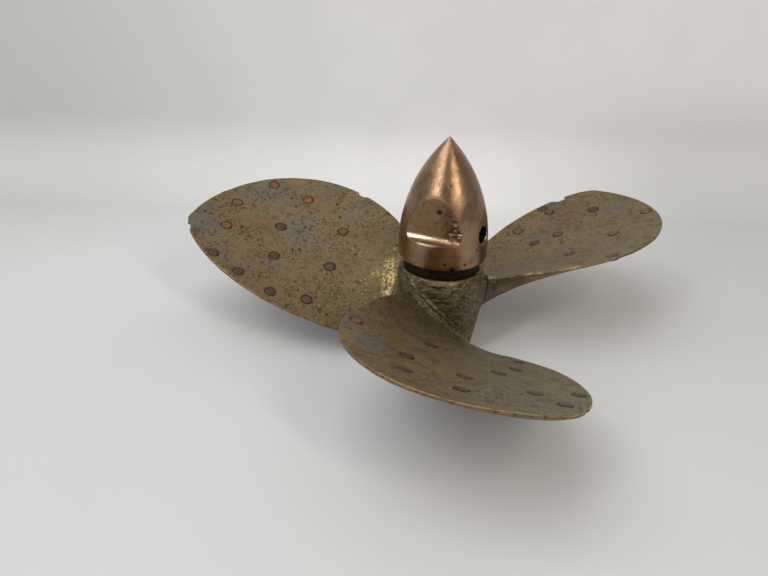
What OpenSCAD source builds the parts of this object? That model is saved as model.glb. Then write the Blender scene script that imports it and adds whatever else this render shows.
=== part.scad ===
// Three-bladed left-hand boat propeller, cast in bronze, with its bullet-shaped shaft nut.
//
// Frame: millimetres. The origin is on the shaft axis at the hub's forward face, and +Z points aft,
// towards the nut. The propeller stands on that forward face.
// Each blade is a set of cylindrical sections. A section at radius r follows a helix: along it,
// s is 0 on the blade's root line, negative towards the after edge and positive towards the forward one.

/* [Propeller] */
// Overall diameter over the blade tips
diameter = 304.8; // [300:0.4:312]
// Pitch of the after faces, which are helical
pitch = 155.6; // [135:0.2:175]
// Number of blades
blade_count = 3; // [3]
// Direction of the first blade's root line, in degrees about the shaft
first_blade_at = -55.6; // [-180:0.2:180]

/* [Hub] */
// Length of the hub along the shaft
hub_length = 49.5; // [48:0.5:52]
// Radius of the hub's forward face
hub_forward_r = 18.6; // [18:0.1:20]
// Radius of the hub at its widest, under the nut
hub_widest_r = 23.8; // [23:0.1:25]
// Radius of the hub's after face
hub_after_r = 21.6; // [21:0.1:22.5]

/* [Blade outline] */
// Height of the root line above the forward face
root_line_z = 11.7; // [10:0.1:14]
// Reach of the after edge from the root line, at the hub
after_reach = 37.5; // [34:0.5:40]
// Extra reach of the after edge where it runs into the hub
after_flare = 8; // [5:0.5:9]
// How fast the after edge widens towards the tip
after_widening = 153.8; // [140:0.2:165]
// How much of that widening is taken back at the tip
after_narrowing = 15.1; // [5:0.1:25]
// Roundness of the after edge
after_roundness = 1.77; // [1.6:0.01:2.2]
// Reach of the forward edge from the root line, at the hub
forward_reach = 8.6; // [7:0.1:9]
// How fast the forward edge widens towards the tip
forward_widening = 30.4; // [25:0.2:35]
// How much of that widening is taken back at the tip
forward_narrowing = 8.8; // [5:0.1:12]
// Roundness of the forward edge
forward_roundness = 2.71; // [2.2:0.01:3.2]
// Sweep of the tip towards the after edge
tip_sweep = 54.4; // [45:0.2:60]
// Rake aft, as a slope
rake = 0.2; // [0.15:0.01:0.25]
// Extra rake aft gained at the tip
tip_rake = 11.2; // [5:0.2:14]

/* [Blade thickness] */
// Thickness of the blade at the hub, before the root fillet
root_thickness = 9.5; // [8:0.1:11]
// Thickness of the blade near its tip
tip_thickness = 3; // [2.6:0.1:4]
// Thickness of the blade's edge
edge_thickness = 1.7; // [1.4:0.1:2.2]
// Swelling of each face where the root runs into the hub
root_swelling = 2.6; // [1:0.1:3]

/* [Copper plugs] */
// Radius of a plug
plug_r = 3.3; // [2.5:0.1:3.6]
// How far a plug stands proud of each face
plug_proud = 0.25; // [0.1:0.05:0.5]

/* [Shaft tail] */
// Radius of the shaft in the hub's forward socket
socket_r = 12.7; // [12.5:0.1:13]
// Depth of that socket
socket_depth = 18; // [16:0.5:20]
// Radius of the keyed seat
seat_r = 11.1; // [10.8:0.1:11.4]
// Outside radius of the thread
thread_r = 7.9; // [7.5:0.1:8]
// Lead of the thread
thread_lead = 2.309; // [2:0.001:2.5]
// Length of thread inside the nut
thread_in_nut = 24; // [23:0.5:26]
// Width and height of the key
key_size = 4.76; // [4:0.01:5]
// Length of the key
key_length = 28; // [24:0.5:30]

/* [Washer] */
// Thickness of the washer
washer_thickness = 6.2; // [5:0.1:7]
// Outside radius of the washer
washer_r = 20.6; // [19:0.1:21]

/* [Nut] */
// Height of the nut
nut_height = 65; // [62:0.1:67]
// Radius of the nut at its widest
nut_r = 23.9; // [23.5:0.1:24.5]
// Height of the nut's parallel band
nut_band = 7.7; // [6:0.1:9]
// Distance between the spanner flats
nut_flats = 36.5; // [36:0.1:38]
// Height of the ledge under each flat
nut_ledge = 14; // [13:0.1:15]
// Height of the two tommy-bar holes
bar_hole_z = 16.7; // [15:0.1:18]
// Radius of a tommy-bar hole
bar_hole_r = 4.5; // [3.5:0.1:5]
// Depth of a tommy-bar hole from the nut's side
bar_hole_depth = 12; // [8:0.1:13]
// Direction of the first tommy-bar hole, in degrees about the shaft
bar_hole_at = -32; // [-50:0.5:-10]
// Direction of the first spanner flat, in degrees about the shaft
flats_at = -111.5; // [-115:0.5:-105]

/* [Hidden] */
$fn = 96;

casting_colour = "#8a7440";
copper_colour = "#9a5238";
nut_colour = "#b07b4c";
steel_colour = "#9a9a96";

tip_r = diameter / 2;
root_r = hub_after_r;
bury = 5.5;
overlap = 1;
radial_steps = 26;
chord_steps = 16;
tip_gap = 0.0001;
section_fullness = 2.4;
thickness_taper = 1.6;
swelling_length = 5;
flare_length = 6;
fit_gap = 0.02;
running_gap = 0.05;
key_gap = 0.03;
chamfer = 1.5;
small_chamfer = 0.4;
widest_share = 0.78;
hub_steps = 10;
hole_margin = 3;
washer_z = hub_length;
nut_z = washer_z + washer_thickness;
thread_top = nut_z + thread_in_nut;
seat_setback = 1;
groove_depth = 0.9;
groove_width = 0.9 * thread_lead;
nut_bore_depth = thread_in_nut + 3;
drill_point = 4;
ledge_fillet = 3.4;
ogive_steps = 24;

// Corners of the nut's rounded foot: distance in from nut_r, and height
NUT_FOOT = [[0.9, 0], [0.3, 0.8], [0, 3]];

// Plugs of each blade, in its inner, middle, outer and tip groups. A plug's place is its radius and its
// share of the blade's width, counted from the after edge.
PLUG_PLACES = [
    [
        [[73, 0.38], [81, 0.78], [65, 0.9]],
        [[88, 0.05], [101, 0.28], [92, 0.66]],
        [[109, 0.49], [121, 0.23], [121, 0.74]],
        [[128, 0.42], [137, 0.85], [124, 0.94]]
    ],
    [
        [[82, 0.34], [89, 0.68]],
        [[93, 0.05], [102, 0.88], [101, 0.62]],
        [[112, 0.31]],
        [[124, 0.87], [132, 0.62], [140, 0.16], [127, 0.95]]
    ],
    [
        [[77, 0.3], [68, 0.56], [74, 0.86]],
        [[99, 0.69], [94, 0.93]],
        [[111, 0.22], [107, 0.49], [113, 0.93]],
        [[134, 0.13], [138, 0.42], [132, 0.68], [129, 0.94]]
    ]
];

// ---- blade surface ------------------------------------------------------------------------------

function share(r) = max(0, min(1, (r - root_r) / (tip_r - root_r)));
function closing(t, roundness) = sqrt(max(0, 1 - pow(t, roundness)));
function after_edge(t) = -(after_reach + after_widening * t - after_narrowing * t * t)
    * closing(t, after_roundness) - tip_sweep * t * t
    - after_flare * exp(-t * (tip_r - root_r) / flare_length);
function forward_edge(t) = (forward_reach + forward_widening * t - forward_narrowing * t * t)
    * closing(t, forward_roundness) - tip_sweep * t * t;
function helix_angle(r) = atan(pitch / (2 * PI * r));

// Place along the helix of a point a given share of the way across the blade
function across(r, v) = after_edge(share(r)) * (1 - v) + forward_edge(share(r)) * v;

// Thickness of the blade, full at mid width and thin at both edges
function belly(v) = 1 - pow(abs(2 * v - 1), section_fullness);
function fullest(r) = tip_thickness + (root_thickness - tip_thickness) * pow(1 - share(r), thickness_taper);
function thickness(r, v) = edge_thickness + belly(v) * (fullest(r) - edge_thickness);
function swelling(r, v) = root_swelling * belly(v) * exp(-max(0, r - root_r) / swelling_length);

// A point at radius r, place s along the helix, and height n above the after face
function blade_point(r, s, n) = let(
        b = helix_angle(r),
        turn = (s * cos(b) + n * sin(b)) / r * 180 / PI,
        t = share(r)
    )
    [r * cos(turn), r * sin(turn),
     root_line_z + rake * (r - root_r) + tip_rake * t * t - s * sin(b) + n * cos(b)];

function after_face(r, v) = blade_point(r, across(r, v), swelling(r, v));
function forward_face(r, v) = blade_point(r, across(r, v), -thickness(r, v) - swelling(r, v));

// Radius and width share of each step: steps close up towards the tip and the edges
function step_r(i) = let(k = 1 - i / radial_steps)
    i == 0 ? root_r - bury : root_r + (tip_r - root_r) * (1 - max(tip_gap, k * k));
function step_v(j) = (1 - cos(180 * j / chord_steps)) / 2;

module blade() {
    columns = chord_steps + 1;
    face_size = (radial_steps + 1) * columns;
    points = [
        for (i = [0 : radial_steps], j = [0 : chord_steps]) after_face(step_r(i), step_v(j)),
        for (i = [0 : radial_steps], j = [0 : chord_steps]) forward_face(step_r(i), step_v(j))
    ];
    function at(i, j) = i * columns + j;
    function under(i, j) = face_size + at(i, j);
    faces = [
        for (i = [0 : radial_steps - 1], j = [0 : chord_steps - 1]) each [
            [at(i, j), at(i, j + 1), at(i + 1, j + 1)],
            [at(i, j), at(i + 1, j + 1), at(i + 1, j)],
            [under(i, j), under(i + 1, j + 1), under(i, j + 1)],
            [under(i, j), under(i + 1, j), under(i + 1, j + 1)]
        ],
        for (i = [0 : radial_steps - 1]) each [
            [at(i, 0), at(i + 1, 0), under(i + 1, 0)],
            [at(i, 0), under(i + 1, 0), under(i, 0)],
            [at(i, chord_steps), under(i + 1, chord_steps), at(i + 1, chord_steps)],
            [at(i, chord_steps), under(i, chord_steps), under(i + 1, chord_steps)]
        ],
        for (j = [0 : chord_steps - 1]) each [
            [at(0, j), under(0, j + 1), at(0, j + 1)],
            [at(0, j), under(0, j), under(0, j + 1)],
            [at(radial_steps, j), at(radial_steps, j + 1), under(radial_steps, j + 1)],
            [at(radial_steps, j), under(radial_steps, j + 1), under(radial_steps, j)]
        ]
    ];
    polyhedron(points, faces);
}

function blade_angle(b) = first_blade_at + (b - 1) * 360 / blade_count;

// ---- plugs --------------------------------------------------------------------------------------

// Square to the blade's after face, from the slopes along and across it
function face_normal(r, v) = let(
        h = 0.5,
        s = across(r, v),
        along = blade_point(r + h, s, 0) - blade_point(r - h, s, 0),
        over = blade_point(r, s + h, 0) - blade_point(r, s - h, 0),
        n = cross(along, over)
    )
    n / norm(n) * sign(n.z);

// Children stand on the after face of the first blade, with +Z square to it
module on_blade(r, v) {
    n = face_normal(r, v);
    translate(blade_point(r, across(r, v), 0))
        rotate([0, acos(n.z), atan2(n.y, n.x)])
            children();
}

// A cylinder through the first blade at each place, standing proud of both faces
module through_blade(places, radius, proud) {
    for (place = places) {
        deep = thickness(place[0], place[1]) + proud;
        on_blade(place[0], place[1])
            translate([0, 0, -deep])
                cylinder(h = deep + proud, r = radius);
    }
}

module blade_plugs(b, group) {
    color(copper_colour)
        rotate([0, 0, blade_angle(b)])
            through_blade(PLUG_PLACES[b - 1][group], plug_r, plug_proud);
}

// ---- casting ------------------------------------------------------------------------------------

// Turned body that widens from the forward face to widest_z, and rounds in to the after face
module hub_body() {
    widest_z = hub_length * widest_share;
    growth = hub_widest_r - hub_forward_r;
    rounding = hub_widest_r - hub_after_r;
    rotate_extrude()
        polygon([
            [0, 0],
            [hub_forward_r - chamfer, 0],
            [hub_forward_r, chamfer],
            for (k = [1 : hub_steps]) let(q = k / hub_steps)
                [hub_forward_r + growth * sin(90 * q), chamfer + (widest_z - chamfer) * q],
            for (k = [1 : hub_steps]) let(q = k / hub_steps)
                [hub_after_r + rounding * cos(90 * q), widest_z + (hub_length - widest_z) * sin(90 * q)],
            [0, hub_length]
        ]);
}

module propeller_casting() {
    color(casting_colour)
        difference() {
            union() {
                hub_body();
                for (b = [1 : blade_count])
                    rotate([0, 0, blade_angle(b)])
                        blade();
            }
            translate([0, 0, -overlap])
                cylinder(h = socket_depth + overlap, r = socket_r);
            translate([0, 0, socket_depth - overlap])
                cylinder(h = hub_length - socket_depth + 2 * overlap, r = seat_r + fit_gap);
            translate([0, 0, socket_depth])
                keyway(hub_length - socket_depth + overlap, key_gap);
            for (b = [1 : blade_count])
                rotate([0, 0, blade_angle(b)])
                    for (places = PLUG_PLACES[b - 1])
                        through_blade(places, plug_r + fit_gap, hole_margin);
        }
}

// ---- shaft, key, washer and nut -----------------------------------------------------------------

// Space of the key, half in the shaft and half in the hub, running up from Z = 0
module keyway(length, gap) {
    translate([seat_r - key_size / 2 - gap, -key_size / 2 - gap, 0])
        cube([key_size + 2 * gap, key_size + 2 * gap, length]);
}

module drive_key() {
    color(steel_colour)
        translate([0, 0, socket_depth + overlap])
            keyway(key_length, 0);
}

module shaft_tail() {
    seat_top = hub_length - seat_setback;
    grooves = floor((thread_top - hub_length) / thread_lead) - 2;
    color(steel_colour)
        difference() {
            rotate_extrude()
                polygon([
                    [0, socket_depth],
                    [seat_r, socket_depth],
                    [seat_r, seat_top - chamfer],
                    [seat_r - chamfer, seat_top],
                    [thread_r, seat_top],
                    for (k = [0 : grooves]) let(z = hub_length + chamfer + k * thread_lead) each [
                        [thread_r, z],
                        [thread_r - groove_depth, z + groove_width / 2],
                        [thread_r, z + groove_width]
                    ],
                    [thread_r, thread_top - chamfer],
                    [thread_r - chamfer, thread_top],
                    [0, thread_top]
                ]);
            translate([0, 0, socket_depth - overlap])
                keyway(key_length + 2 * overlap + key_gap, key_gap);
        }
}

module thrust_washer() {
    color(casting_colour)
        translate([0, 0, washer_z])
            rotate_extrude()
                polygon([
                    [thread_r + running_gap, 0],
                    [washer_r - small_chamfer, 0],
                    [washer_r, small_chamfer],
                    [washer_r, washer_thickness - small_chamfer],
                    [washer_r - small_chamfer, washer_thickness],
                    [thread_r + running_gap, washer_thickness]
                ]);
}

// Two blind holes for a tommy bar, opposite each other
module bar_holes() {
    for (side = [0, 180])
        rotate([0, 0, bar_hole_at + side])
            translate([nut_r - bar_hole_depth, 0, bar_hole_z])
                rotate([0, 90, 0])
                    cylinder(h = bar_hole_depth + overlap, r = bar_hole_r);
}

// Radius of the nut above its parallel band: an arc that closes on the point
function ogive(z) = let(
        rise = nut_height - nut_band,
        arc_r = (nut_r * nut_r + rise * rise) / (2 * nut_r),
        up = z - nut_band
    )
    sqrt(arc_r * arc_r - up * up) + nut_r - arc_r;

// What the mill takes off one side: a flat facing +X, and a ledge under it with a fillet
module spanner_cut() {
    wide = 2 * (nut_r + overlap);
    flat_x = nut_flats / 2;
    translate([flat_x, -wide / 2, nut_ledge + ledge_fillet])
        cube([nut_r, wide, nut_height]);
    translate([flat_x + ledge_fillet, -wide / 2, nut_ledge])
        cube([nut_r, wide, 2 * ledge_fillet]);
    translate([flat_x + ledge_fillet, 0, nut_ledge + ledge_fillet])
        rotate([90, 0, 0])
            cylinder(h = wide, r = ledge_fillet, center = true);
}

// The whole bullet before it is drilled and milled. It is faceted, so the flats get straight-sided outlines.
module bullet() {
    rise = (nut_height - nut_band) / ogive_steps;
    hull()
        rotate_extrude()
            polygon([
                [0, 0],
                for (corner = NUT_FOOT) [nut_r - corner[0], corner[1]],
                for (k = [0 : ogive_steps - 1]) let(z = nut_band + rise * k) [ogive(z), z],
                [0, nut_height]
            ]);
}

module fairwater_nut() {
    color(nut_colour)
        translate([0, 0, nut_z])
            difference() {
                bullet();
                rotate_extrude()
                    polygon([
                        [0, -overlap],
                        [thread_r + running_gap, -overlap],
                        [thread_r + running_gap, nut_bore_depth],
                        [0, nut_bore_depth + drill_point]
                    ]);
                for (side = [0, 180])
                    rotate([0, 0, flats_at + side])
                        spanner_cut();
                bar_holes();
            }
}

// ---- output -------------------------------------------------------------------------------------

propeller_casting();
shaft_tail();
drive_key();
thrust_washer();
fairwater_nut();
blade_plugs(1, 0);  // plugs_blade_1_inner
blade_plugs(1, 1);  // plugs_blade_1_middle
blade_plugs(1, 2);  // plugs_blade_1_outer
blade_plugs(1, 3);  // plugs_blade_1_tip
blade_plugs(2, 0);  // plugs_blade_2_inner
blade_plugs(2, 1);  // plugs_blade_2_middle
blade_plugs(2, 2);  // plugs_blade_2_outer
blade_plugs(2, 3);  // plugs_blade_2_tip
blade_plugs(3, 0);  // plugs_blade_3_inner
blade_plugs(3, 1);  // plugs_blade_3_middle
blade_plugs(3, 2);  // plugs_blade_3_outer
blade_plugs(3, 3);  // plugs_blade_3_tip
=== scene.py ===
"""Looks of the boat propeller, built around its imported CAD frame.

Lengths are millimetres until a mesh is made, which is in metres. A blade is a stack of sections, each on
a cylinder about the shaft: s runs along the section's helix, and n stands off its after face.
"""
import itertools
import math

import bmesh
import bpy
import numpy as np
from mathutils import Matrix, Vector


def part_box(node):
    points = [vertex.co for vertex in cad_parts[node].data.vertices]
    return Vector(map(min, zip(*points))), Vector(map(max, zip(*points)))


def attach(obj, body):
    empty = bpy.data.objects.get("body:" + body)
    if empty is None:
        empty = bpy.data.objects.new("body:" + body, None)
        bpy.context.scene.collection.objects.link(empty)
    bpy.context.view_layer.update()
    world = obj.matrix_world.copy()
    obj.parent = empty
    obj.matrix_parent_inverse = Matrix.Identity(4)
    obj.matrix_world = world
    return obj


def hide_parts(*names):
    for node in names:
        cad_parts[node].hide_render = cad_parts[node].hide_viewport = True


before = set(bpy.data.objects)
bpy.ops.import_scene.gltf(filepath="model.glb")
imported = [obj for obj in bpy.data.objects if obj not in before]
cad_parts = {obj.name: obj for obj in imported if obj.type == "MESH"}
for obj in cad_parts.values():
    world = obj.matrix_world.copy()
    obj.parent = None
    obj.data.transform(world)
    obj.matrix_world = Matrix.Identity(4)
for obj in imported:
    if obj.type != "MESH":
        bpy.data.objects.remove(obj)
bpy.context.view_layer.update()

MM = 0.001
SEED = 7
LEAST_FACES = 40            # a loose part of a solid with fewer faces than this is a crumb
FAR = 99.0                  # a distance in mm that stands for out of reach
NOISE_TABLE = 32
PIT_TABLE = 24

# ---- sizes, from the frame where it has them ----------------------------------------------------


def box_mm(node):
    """Lowest and highest corner of a CAD node, in millimetres."""
    low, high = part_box(node)
    return np.array(low) / MM, np.array(high) / MM


NUT_LOW, NUT_HIGH = box_mm("fairwater_nut")
WASHER_LOW, WASHER_HIGH = box_mm("thrust_washer")
SHAFT_LOW, SHAFT_HIGH = box_mm("shaft_tail")
KEY_LOW, KEY_HIGH = box_mm("drive_key")
HUB_LENGTH = WASHER_LOW[2]
NUT_Z = NUT_LOW[2]
NUT_HEIGHT = NUT_HIGH[2] - NUT_Z
SEAT_R = SHAFT_HIGH[0]
SOCKET_DEPTH = SHAFT_LOW[2]
THREAD_TOP = SHAFT_HIGH[2]

TIP_R = 152.4
PITCH = 155.6
BLADE_ANGLES = [-55.6, 64.4, 184.4]     # front, right and left blade
HUB_FORWARD_R = 18.6
HUB_WIDEST_R = 23.8
HUB_AFTER_R = 21.6
HUB_CHAMFER = 1.5
WIDEST_SHARE = 0.78
ROOT_LINE_Z = 11.7
AFTER = (37.5, 153.8, -15.1, 1.77)      # shape of the after edge, see reach()
FORWARD = (8.6, 30.4, -8.8, 2.71)       # shape of the forward edge
TIP_SWEEP = 54.4
AFTER_FLARE = 8.0
FLARE_LENGTH = 6.0
RAKE = 0.2
TIP_RAKE = 11.2
ROOT_THICKNESS = 9.5
TIP_THICKNESS = 3.0
EDGE_THICKNESS = 1.7
SECTION_FULLNESS = 2.4
THICKNESS_TAPER = 1.6
TIP_ROUNDING = 4.5
SOCKET_R = 12.7
THREAD_R = 7.9
THREAD_LEAD = 2.309
PLUG_R = 3.3
NUT_R = 23.9
NUT_BAND = 7.7
NUT_FLATS = 36.5
NUT_LEDGE = 14.0
LEDGE_FILLET = 3.4
NUT_BORE_DEPTH = 27.0
BAR_HOLE_Z = 16.7
BAR_HOLE_R = 4.5
BAR_HOLE_DEPTH = 12.0
BAR_HOLE_AT = -32.0
FLATS_AT = -111.5
NICK_AT = -81.0
NUT_COLUMNS = 400
AFTER_BAND = 4.0
FORWARD_FILLET = 5.0
BAND_RISE = 7.0

# ---- numpy helpers ------------------------------------------------------------------------------


def smoothstep(low, high, x):
    t = np.clip((x - low) / (high - low), 0, 1)
    return t * t * (3 - 2 * t)


def noise(points, size, seed):
    """Smooth noise in -1..1 with features of the given size."""
    table = np.random.default_rng(seed).uniform(-1, 1, (NOISE_TABLE,) * 3)
    q = points / size
    cell = np.floor(q).astype(int)
    part = q - cell
    part = part * part * (3 - 2 * part)
    total = np.zeros(len(points))
    for corner in itertools.product((0, 1), repeat=3):
        at = (cell + corner) % NOISE_TABLE
        weight = np.prod(np.where(corner, part, 1 - part), axis=1)
        total += table[at[:, 0], at[:, 1], at[:, 2]] * weight
    return total


def layered_noise(points, size, seed, layers=3):
    """Noise at several sizes, each half as large and half as strong as the one before."""
    total = np.zeros(len(points))
    for k in range(layers):
        total += noise(points, size / 2 ** k, seed + k) / 2 ** k
    return total


def pits(points, spacing, chance, seed):
    """Round pits scattered on a jittered lattice: 1 at a pit's centre, 0 outside it."""
    rng = np.random.default_rng(seed)
    place = rng.uniform(0, 1, (PIT_TABLE,) * 3 + (3,))
    radius = rng.uniform(0.16, 0.42, (PIT_TABLE,) * 3)
    radius[rng.uniform(0, 1, radius.shape) > chance] = 0
    q = points / spacing
    cell = np.floor(q).astype(int)
    deepest = np.zeros(len(points))
    for step in itertools.product((-1, 0, 1), repeat=3):
        at = cell + step
        key = at % PIT_TABLE
        centre = at + place[key[:, 0], key[:, 1], key[:, 2]]
        r = radius[key[:, 0], key[:, 1], key[:, 2]]
        away = np.linalg.norm(q - centre, axis=1)
        deepest = np.maximum(deepest, smoothstep(0, 1, np.clip(1 - away / np.maximum(r, 1e-6), 0, 1)))
    return deepest


# ---- mesh helpers -------------------------------------------------------------------------------


def grid_faces(rows, columns, closed):
    """Quads of a grid of rows by columns, joined round its columns when closed."""
    i = np.arange(rows - 1)[:, None]
    j = np.arange(columns if closed else columns - 1)[None, :]
    after = (j + 1) % columns
    quads = np.stack([i * columns + j, i * columns + after,
                      (i + 1) * columns + after, (i + 1) * columns + j], axis=-1)
    return quads.reshape(-1, 4)


def make_mesh(name, points_mm, faces):
    mesh = bpy.data.meshes.new(name)
    mesh.from_pydata((np.asarray(points_mm) * MM).tolist(), [], [list(map(int, f)) for f in faces])
    mesh.validate()
    mesh.update()
    return mesh


def make_object(name, mesh):
    obj = bpy.data.objects.new(name, mesh)
    bpy.context.scene.collection.objects.link(obj)
    return obj


def tube(name, rings):
    """A closed solid from rings of points: each ring is joined to the next, and the ends are capped."""
    rows, columns = rings.shape[:2]
    points = rings.reshape(-1, 3)
    faces = grid_faces(rows, columns, True).tolist()
    first = points[:columns].mean(axis=0)
    last = points[-columns:].mean(axis=0)
    points = np.vstack([points, first, last])
    a, b = len(points) - 2, len(points) - 1
    start = (rows - 1) * columns
    for j in range(columns):
        after = (j + 1) % columns
        faces.append([after, j, a])
        faces.append([start + j, start + after, b])
    return make_object(name, make_mesh(name, points, faces))


def lathe(name, profile, columns):
    """A turned solid. profile is a list of (radius, z) from the low end to the high end."""
    profile = np.array(profile, float)
    turn = np.linspace(0, 2 * math.pi, columns, endpoint=False)
    rings = np.stack([profile[:, None, 0] * np.cos(turn), profile[:, None, 0] * np.sin(turn),
                      profile[:, None, 1] + 0 * turn], axis=-1)
    return tube(name, rings)


def resample(profile, step):
    """Adds points along a profile so that none are further apart than step."""
    profile = np.array(profile, float)
    out = [profile[0]]
    for a, b in zip(profile[:-1], profile[1:]):
        count = max(1, int(math.ceil(np.linalg.norm(b - a) / step)))
        out += [a + (b - a) * k / count for k in range(1, count + 1)]
    return np.array(out)


def combine(target, cutters, operation):
    """Joins or cuts solids with the exact manifold solver, and removes the cutters."""
    for cutter in cutters:
        modifier = target.modifiers.new("combine", "BOOLEAN")
        modifier.operation = operation
        modifier.solver = "MANIFOLD"
        modifier.object = cutter
    bpy.context.view_layer.update()
    graph = bpy.context.evaluated_depsgraph_get()
    mesh = bpy.data.meshes.new_from_object(target.evaluated_get(graph))
    target.modifiers.clear()
    target.data = mesh
    for cutter in cutters:
        bpy.data.objects.remove(cutter)
    drop_crumbs(target)
    return target


def drop_crumbs(obj):
    """Deletes the specks of mesh that a cut can leave beside the solid."""
    work = bmesh.new()
    work.from_mesh(obj.data)
    left = set(work.faces)
    crumbs = []
    while left:
        part, reached = [], [left.pop()]
        while reached:
            face = reached.pop()
            part.append(face)
            near = {other for edge in face.edges for other in edge.link_faces} & left
            left -= near
            reached += near
        if len(part) < LEAST_FACES:
            crumbs += part
    bmesh.ops.delete(work, geom=crumbs, context="FACES")
    work.to_mesh(obj.data)
    work.free()


def vertices_mm(obj):
    count = len(obj.data.vertices)
    co = np.zeros(count * 3)
    normal = np.zeros(count * 3)
    obj.data.vertices.foreach_get("co", co)
    obj.data.vertices.foreach_get("normal", normal)
    return co.reshape(-1, 3) / MM, normal.reshape(-1, 3)


def set_vertices(obj, points_mm):
    obj.data.vertices.foreach_set("co", (points_mm * MM).ravel())
    obj.data.update()


def set_attribute(obj, name, values):
    layer = obj.data.attributes.new(name, "FLOAT", "POINT")
    layer.data.foreach_set("value", np.asarray(values, np.float32))


def shade(obj, sharp_above=40):
    """Smooth shading, with edges left sharp above an angle in degrees."""
    obj.data.shade_smooth()
    obj.data.set_sharp_from_angle(angle=math.radians(sharp_above))


# ---- blade surface, as in the CAD ---------------------------------------------------------------


def share(r):
    """How far out a radius is: 0 at the hub, 1 at the tip."""
    return np.clip((r - HUB_AFTER_R) / (TIP_R - HUB_AFTER_R), 0, 1)


def reach(t, shape):
    """Distance of an edge from the blade's own line."""
    return (shape[0] + shape[1] * t + shape[2] * t * t) * np.sqrt(np.maximum(0, 1 - t ** shape[3]))


def after_edge(r):
    t = share(r)
    flare = AFTER_FLARE * np.exp(-t * (TIP_R - HUB_AFTER_R) / FLARE_LENGTH)
    return -reach(t, AFTER) - TIP_SWEEP * t * t - flare


def forward_edge(r):
    t = share(r)
    return reach(t, FORWARD) - TIP_SWEEP * t * t


def blade_thickness(r, v):
    t = share(r)
    belly = 1 - np.abs(2 * v - 1) ** SECTION_FULLNESS
    body = TIP_THICKNESS - EDGE_THICKNESS + (ROOT_THICKNESS - TIP_THICKNESS) * (1 - t) ** THICKNESS_TAPER
    return EDGE_THICKNESS + belly * body * np.sqrt(np.clip((TIP_R - r) / TIP_ROUNDING, 0, 1))


def blade_point(r, s, n):
    """Point at radius r, place s along the helix and height n above the after face."""
    b = np.arctan(PITCH / (2 * math.pi * r))
    turn = (s * np.cos(b) + n * np.sin(b)) / r
    t = share(r)
    z = ROOT_LINE_Z + RAKE * (r - HUB_AFTER_R) + TIP_RAKE * t * t - s * np.sin(b) + n * np.cos(b)
    return np.stack([r * np.cos(turn), r * np.sin(turn), z + 0 * turn], axis=-1)


def hub_radius(z):
    neck = HUB_LENGTH * WIDEST_SHARE
    rise = np.clip((z - HUB_CHAMFER) / (neck - HUB_CHAMFER), 0, 1)
    below = HUB_FORWARD_R + (HUB_WIDEST_R - HUB_FORWARD_R) * np.sin(rise * math.pi / 2)
    fall = np.clip((z - neck) / (HUB_LENGTH - neck), 0, 1)
    above = HUB_AFTER_R + (HUB_WIDEST_R - HUB_AFTER_R) * np.sqrt(1 - fall ** 2)
    return np.where(z < neck, below, above)


# Nicks in the blades' edges: blade, edge (0 after, 1 forward), radius, width and depth
NICKS = [
    (2, 0, 94.7, 3.4, 1.7),
    (2, 1, 148.3, 1.6, 2.0),
    (2, 0, 148.0, 1.2, 1.3),
    (1, 1, 138.6, 3.4, 4.2),
    (0, 1, 145.2, 1.6, 1.5),
    (0, 1, 134.6, 1.2, 0.8),
]

FACE_STEPS = 130
CAP_STEPS = 6
ROW_STEPS = 210
TIP_GAP = 2e-6
ROOT_ROWS = 36
ROOT_START = 16.6
BLADE_START = 32.0


def nicked(blade, edge, r):
    """How far the edge is bitten away at each radius."""
    bite = np.zeros_like(r)
    for b, e, at, width, depth in NICKS:
        if b == blade and e == edge:
            bite += depth * smoothstep(1, 0.65, np.abs(r - at) / width)
    return bite


def blade_sections(number):
    """Rings of (s, n) round the blade, one ring a row, and each row's radius."""
    k = np.linspace(0, 1, ROW_STEPS)
    blade = BLADE_START + (TIP_R - BLADE_START) * (1 - np.maximum(TIP_GAP, (1 - k) ** 1.8))
    root = np.linspace(ROOT_START, BLADE_START, ROOT_ROWS, endpoint=False)
    r = np.concatenate([root, blade])[:, None]
    low = after_edge(r) + nicked(number, 0, r)
    high = forward_edge(r) - nicked(number, 1, r)
    inset = np.minimum(EDGE_THICKNESS / 2, (high - low) / 2.2)
    v = np.linspace(0, 1, FACE_STEPS)[None, :]
    along = low + inset + (high - low - 2 * inset) * v
    under = -blade_thickness(r, v)
    turn = np.linspace(0, math.pi, CAP_STEPS + 2)[None, 1:-1]
    middle = -EDGE_THICKNESS / 2
    forward_cap_s = high - inset + inset * np.sin(turn)
    forward_cap_n = middle + EDGE_THICKNESS / 2 * np.cos(turn)
    after_cap_s = low + inset - inset * np.sin(turn)
    after_cap_n = middle - EDGE_THICKNESS / 2 * np.cos(turn)
    s = np.concatenate([along, forward_cap_s, along[:, ::-1], after_cap_s], axis=1)
    n = np.concatenate([0 * along, forward_cap_n + 0 * r, under[:, ::-1], after_cap_n + 0 * r], axis=1)
    past = np.clip((r - TIP_R - middle) / -middle, 0, 1)
    n = middle + (n - middle) * np.sqrt(1 - past ** 2 * 0.98)
    return r, s, n


def outward(s, n):
    """Unit vectors that point out of each ring."""
    ds = np.roll(s, -1, axis=1) - np.roll(s, 1, axis=1)
    dn = np.roll(n, -1, axis=1) - np.roll(n, 1, axis=1)
    length = np.maximum(np.hypot(ds, dn), 1e-9)
    return -dn / length, ds / length


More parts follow.
